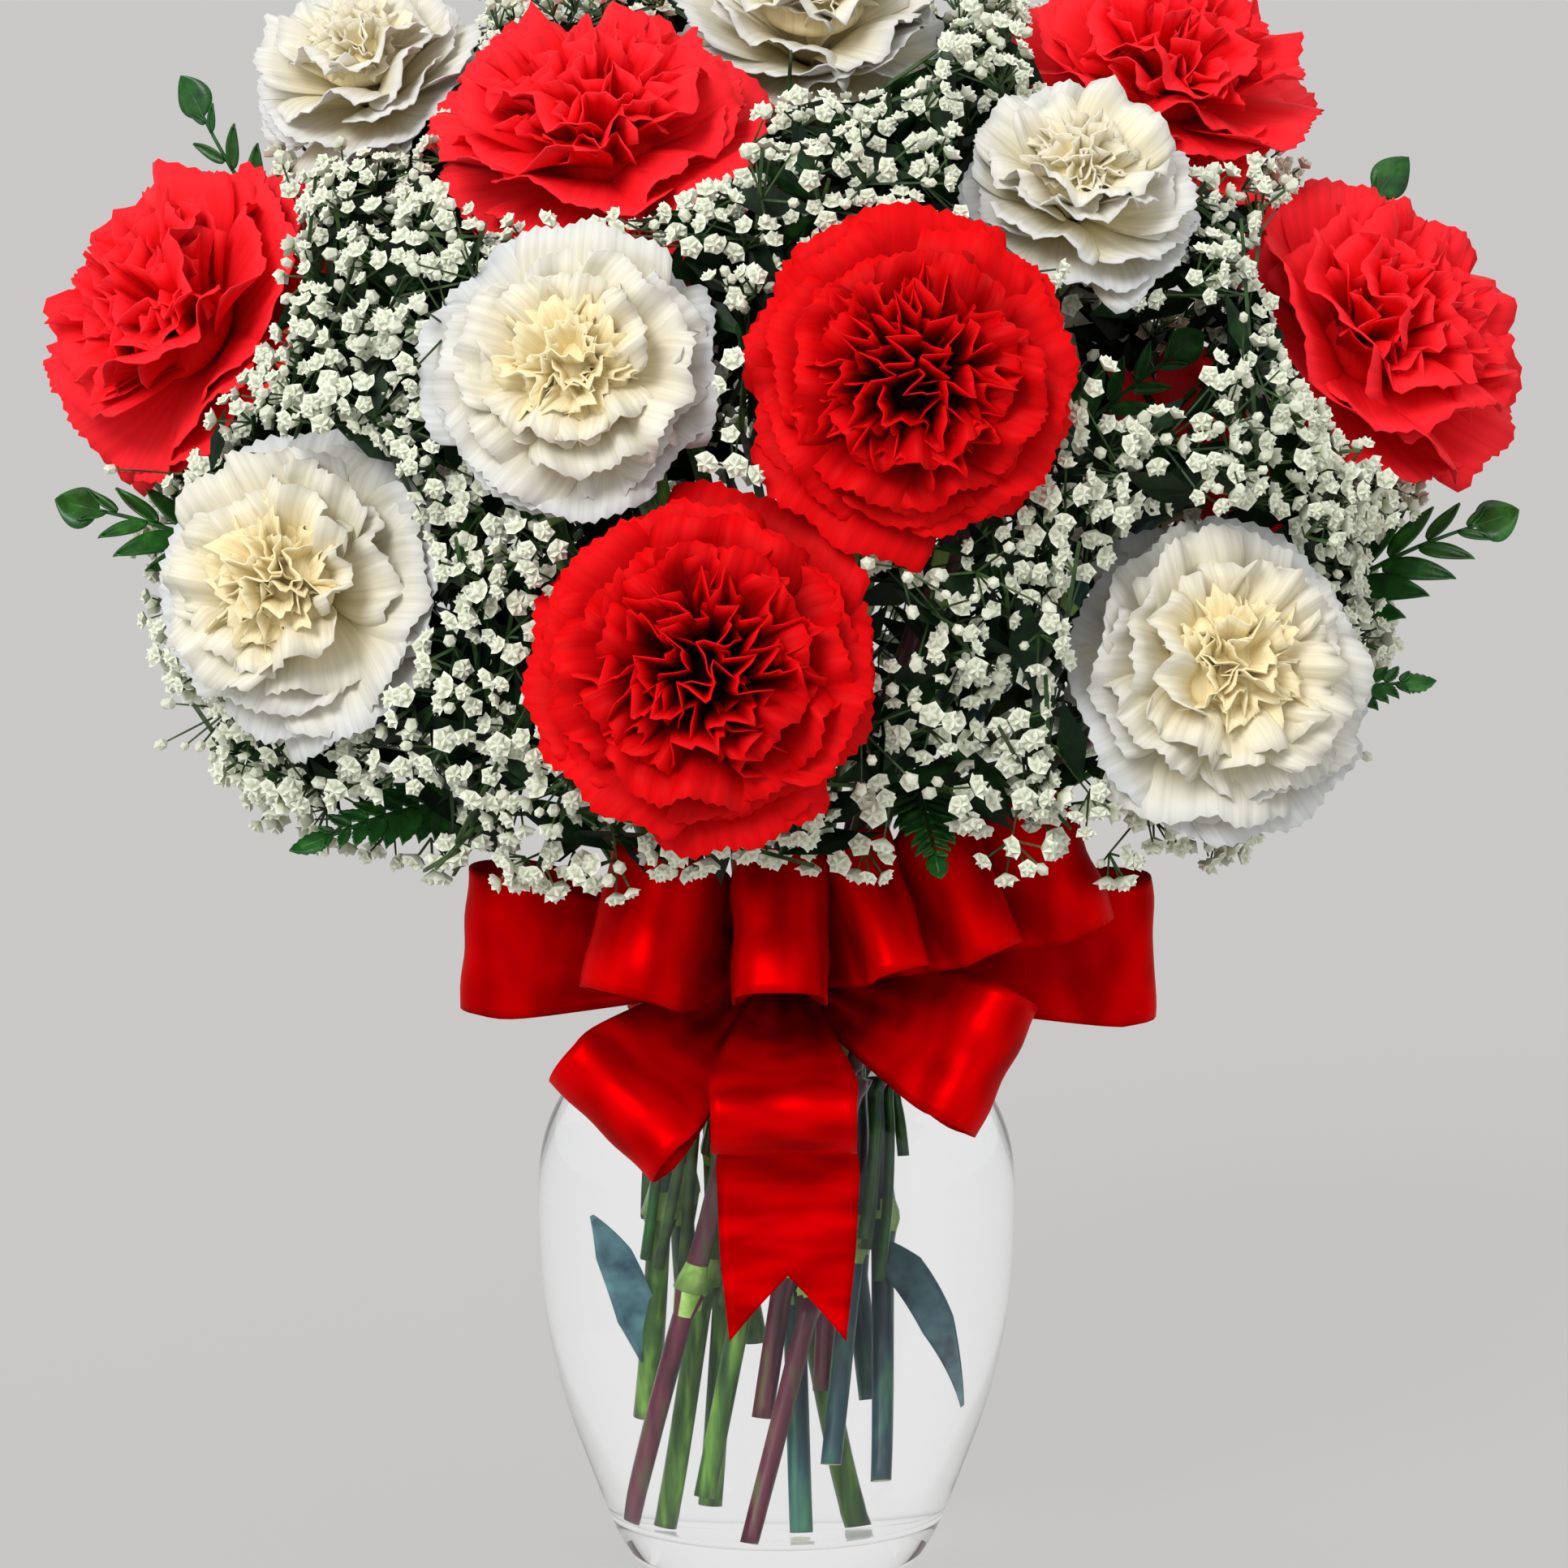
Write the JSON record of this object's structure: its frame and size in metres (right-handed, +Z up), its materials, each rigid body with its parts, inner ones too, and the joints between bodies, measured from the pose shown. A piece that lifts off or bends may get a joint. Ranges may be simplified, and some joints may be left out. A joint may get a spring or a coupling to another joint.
{
  "type": "carnations in a vase",
  "caption": "Red and white carnations with baby's breath and fern in a clear glass urn vase of water, tied at the neck with a wide red ribbon bow.",
  "frame": {"origin": "centre of the vase's flat underside, on the surface that it stands on", "axes": "+Z up the vase's axis, -Y towards the front with the bow, +X to the viewer's right"},
  "size_m": [0.3907, 0.3541, 0.445],
  "materials": {
    "glass": "clear blown glass",
    "water": "clear water",
    "red_petals": "soft matte petals",
    "white_petals": "soft matte petals",
    "stem": "waxy grey-green stem and calyx",
    "babys_breath": "small matte white florets on green twigs",
    "fern": "semi-gloss dark green fern",
    "ribbon": "deep red satin"
  },
  "bodies": {
    "root": {"vase": "glass", "water": "water", "stem_red_low_front": "stem", "bloom_red_low_front": "red_petals", "stem_red_mid_front": "stem", "bloom_red_mid_front": "red_petals", "stem_white_mid_front": "stem", "bloom_white_mid_front": "white_petals", "stem_white_low_left": "stem", "bloom_white_low_left": "white_petals", "stem_white_low_right": "stem", "bloom_white_low_right": "white_petals", "stem_red_left": "stem", "bloom_red_left": "red_petals", "stem_red_upper_left": "stem", "bloom_red_upper_left": "red_petals", "stem_red_upper_right": "stem", "bloom_red_upper_right": "red_petals", "stem_red_right": "stem", "bloom_red_right": "red_petals", "stem_white_upper_left": "stem", "bloom_white_upper_left": "white_petals", "stem_white_top": "stem", "bloom_white_top": "white_petals", "stem_white_upper_right": "stem", "bloom_white_upper_right": "white_petals", "stem_white_back_left": "stem", "bloom_white_back_left": "white_petals", "stem_red_back_left": "stem", "bloom_red_back_left": "red_petals", "stem_white_back_right": "stem", "bloom_white_back_right": "white_petals", "stem_red_back_right": "stem", "bloom_red_back_right": "red_petals", "spray_01": "babys_breath", "spray_02": "babys_breath", "spray_03": "babys_breath", "spray_04": "babys_breath", "spray_05": "babys_breath", "spray_06": "babys_breath", "spray_07": "babys_breath", "spray_08": "babys_breath", "spray_09": "babys_breath", "spray_10": "babys_breath", "spray_11": "babys_breath", "spray_12": "babys_breath", "spray_13": "babys_breath", "fern_01": "fern", "fern_02": "fern", "fern_03": "fern", "fern_04": "fern", "fern_05": "fern", "fern_06": "fern", "fern_07": "fern", "fern_08": "fern", "fern_09": "fern", "fern_10": "fern", "fern_11": "fern", "ribbon_bow": "ribbon"}
  },
  "joints": []
}
